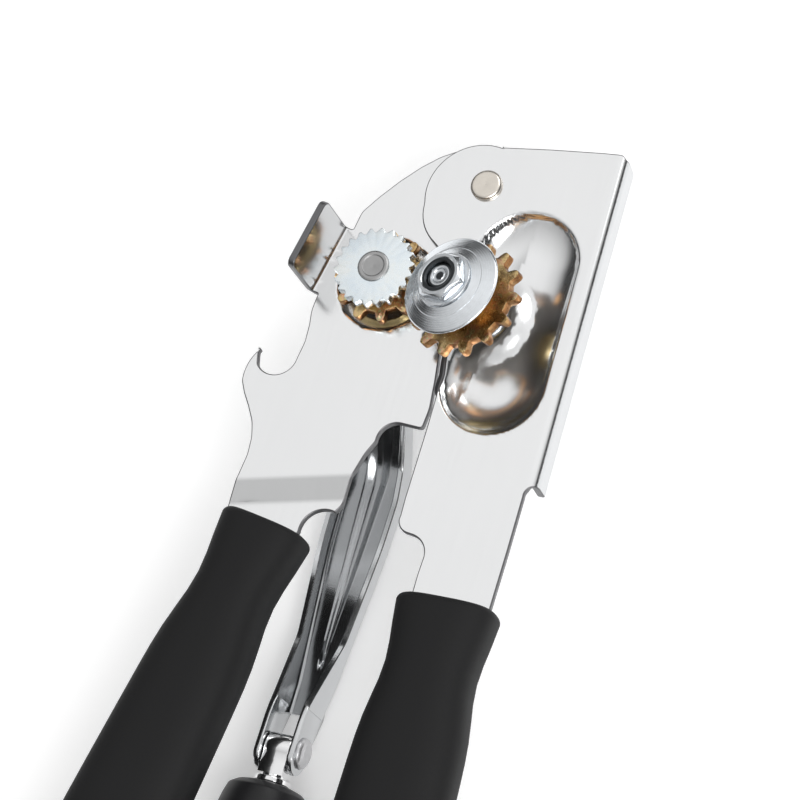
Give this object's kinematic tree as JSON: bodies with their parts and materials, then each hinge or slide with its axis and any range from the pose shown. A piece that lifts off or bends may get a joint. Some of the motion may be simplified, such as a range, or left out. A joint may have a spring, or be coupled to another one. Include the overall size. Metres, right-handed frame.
{
  "type": "manual can opener",
  "caption": "Manual can opener: two hinged steel levers with soft grips, geared feed wheel and leaning cutter wheel, turned by a folding crank, with cap hook.",
  "frame": {"origin": "centre of the box in X and Y, at its lowest point, where the crank grip lies on a table", "axes": "+Z towards the cutter side and up, +Y from the handle ends to the head, +X towards the cutter lever"},
  "size_m": [0.0912, 0.2144, 0.0499],
  "materials": {
    "bright_plate": "bright nickel and chrome plated steel sheet",
    "soft_black": "matte soft black rubber",
    "crank_black": "black plastic, slightly satin",
    "nickel_rivet": "warm satin nickel",
    "satin_rivet": "satin steel",
    "turned_steel": "turned and bright zinc plated steel",
    "zinc_steel": "zinc plated steel",
    "blue_zinc": "pale blue-white zinc plate",
    "yellow_zinc": "yellow chromate zinc plate with pink and green tints",
    "bearing_brass": "plain bearing brass"
  },
  "bodies": {
    "opener_lever": {"bottle_opener_plate": "bright_plate", "left_grip": "soft_black", "pivot_rivet": "nickel_rivet", "pivot_washer": "zinc_steel", "shaft_bushing": "bearing_brass"},
    "cutter_lever": {"cutter_plate": "bright_plate", "right_grip": "soft_black", "cutter_stud": "turned_steel", "stud_spacer": "zinc_steel", "cutter_washer": "turned_steel", "cutter_nut": "turned_steel"},
    "cutter": {"cutter_gear": "yellow_zinc", "cutter_wheel": "turned_steel"},
    "drive": {"drive_shaft": "turned_steel", "feed_wheel": "blue_zinc", "feed_spacer": "zinc_steel", "drive_gear": "yellow_zinc", "thrust_washer": "zinc_steel", "crank_arm": "bright_plate", "crank_hub_rivet": "nickel_rivet", "crank_rivet": "satin_rivet"},
    "stem": {"crank_stem": "bright_plate", "grip_cap": "zinc_steel"},
    "grip": {"crank_grip": "crank_black"}
  },
  "joints": [
    {"name": "lever_hinge", "type": "hinge", "parent": "opener_lever", "child": "cutter_lever", "pos_m": [0.0095, 0.09482, 0.0319], "axis": [0, 0, 1], "range_deg": [0, 45]},
    {"name": "drive_spin", "type": "hinge", "parent": "opener_lever", "child": "drive", "pos_m": [-0.0067, 0.06942, 0.031], "axis": [0, 0, 1], "continuous": true},
    {"name": "cutter_spin", "type": "hinge", "parent": "cutter_lever", "child": "cutter", "pos_m": [0.01493, 0.06669, 0.0369], "axis": [-0.2735, 0.0345, 0.9613], "continuous": true},
    {"name": "crank_fold", "type": "hinge", "parent": "drive", "child": "stem", "pos_m": [-0.0046, -0.03056, 0.0099], "axis": [0.9998, 0.0209, 0], "range_deg": [0, 90]},
    {"name": "grip_spin", "type": "hinge", "parent": "stem", "child": "grip", "pos_m": [-0.0046, -0.03056, 0.0099], "axis": [0.0209, -0.9998, 0], "continuous": true}
  ],
  "couplings": [
    {"joint": "cutter_spin", "follows": "drive_spin", "ratio": -0.78571}
  ]
}
